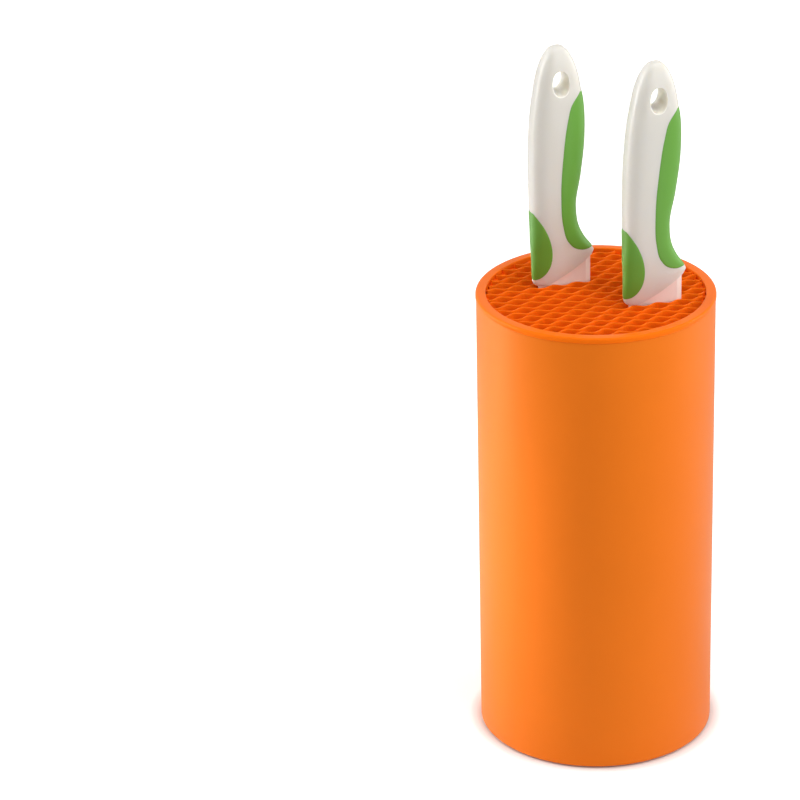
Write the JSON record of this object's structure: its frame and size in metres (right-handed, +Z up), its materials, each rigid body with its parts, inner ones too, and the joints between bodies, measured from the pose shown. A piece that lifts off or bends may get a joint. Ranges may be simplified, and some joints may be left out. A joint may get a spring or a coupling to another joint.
{
  "type": "knife block with knives",
  "caption": "Upright round knife block with a lift-out insert of wavy leaves that hold the blades, and kitchen knives with soft-grip handles standing in it.",
  "frame": {"origin": "middle of the face that the block stands on, level with the undersides of its rubber pads", "axes": "+Z up; +X along the leaves and the knives' blades, towards their cutting edges; +Y across the leaves"},
  "size_m": [0.1102, 0.1102, 0.3352],
  "materials": {
    "casing_orange": "soft-touch matt",
    "insert_orange": "satin",
    "pad_rubber": "matt",
    "handle_white": "satin",
    "grip_green": "soft-touch matt",
    "blade_ceramic": "polished"
  },
  "bodies": {
    "block": {"casing": "casing_orange", "foot_pad_1": "pad_rubber", "foot_pad_2": "pad_rubber", "foot_pad_3": "pad_rubber", "foot_pad_4": "pad_rubber"},
    "insert": {"collar": "insert_orange", "liner": "insert_orange", "wave_leaf_01": "insert_orange", "wave_leaf_02": "insert_orange", "wave_leaf_03": "insert_orange", "wave_leaf_04": "insert_orange", "wave_leaf_05": "insert_orange", "wave_leaf_06": "insert_orange", "wave_leaf_07": "insert_orange", "wave_leaf_08": "insert_orange", "wave_leaf_09": "insert_orange", "wave_leaf_10": "insert_orange", "wave_leaf_11": "insert_orange", "wave_leaf_12": "insert_orange", "wave_leaf_13": "insert_orange", "wave_leaf_14": "insert_orange", "wave_leaf_15": "insert_orange", "wave_leaf_16": "insert_orange", "wave_leaf_17": "insert_orange", "wave_leaf_18": "insert_orange", "wave_leaf_19": "insert_orange", "wave_leaf_20": "insert_orange"},
    "knife_1": {"knife_1_handle_core": "handle_white", "knife_1_belly_grip": "grip_green", "knife_1_spine_grip": "grip_green", "knife_1_blade": "blade_ceramic"},
    "knife_2": {"knife_2_handle_core": "handle_white", "knife_2_belly_grip": "grip_green", "knife_2_spine_grip": "grip_green", "knife_2_blade": "blade_ceramic"}
  },
  "joints": [
    {"name": "insert_lift", "type": "slide", "parent": "block", "child": "insert", "axis": [0, 0, 1], "range_m": [0, 0.225]},
    {"name": "knife_1_slide", "type": "slide", "parent": "insert", "child": "knife_1", "axis": [0, 0, 1], "range_m": [0, 0.14]},
    {"name": "knife_2_slide", "type": "slide", "parent": "insert", "child": "knife_2", "axis": [0, 0, 1], "range_m": [0, 0.165]}
  ]
}
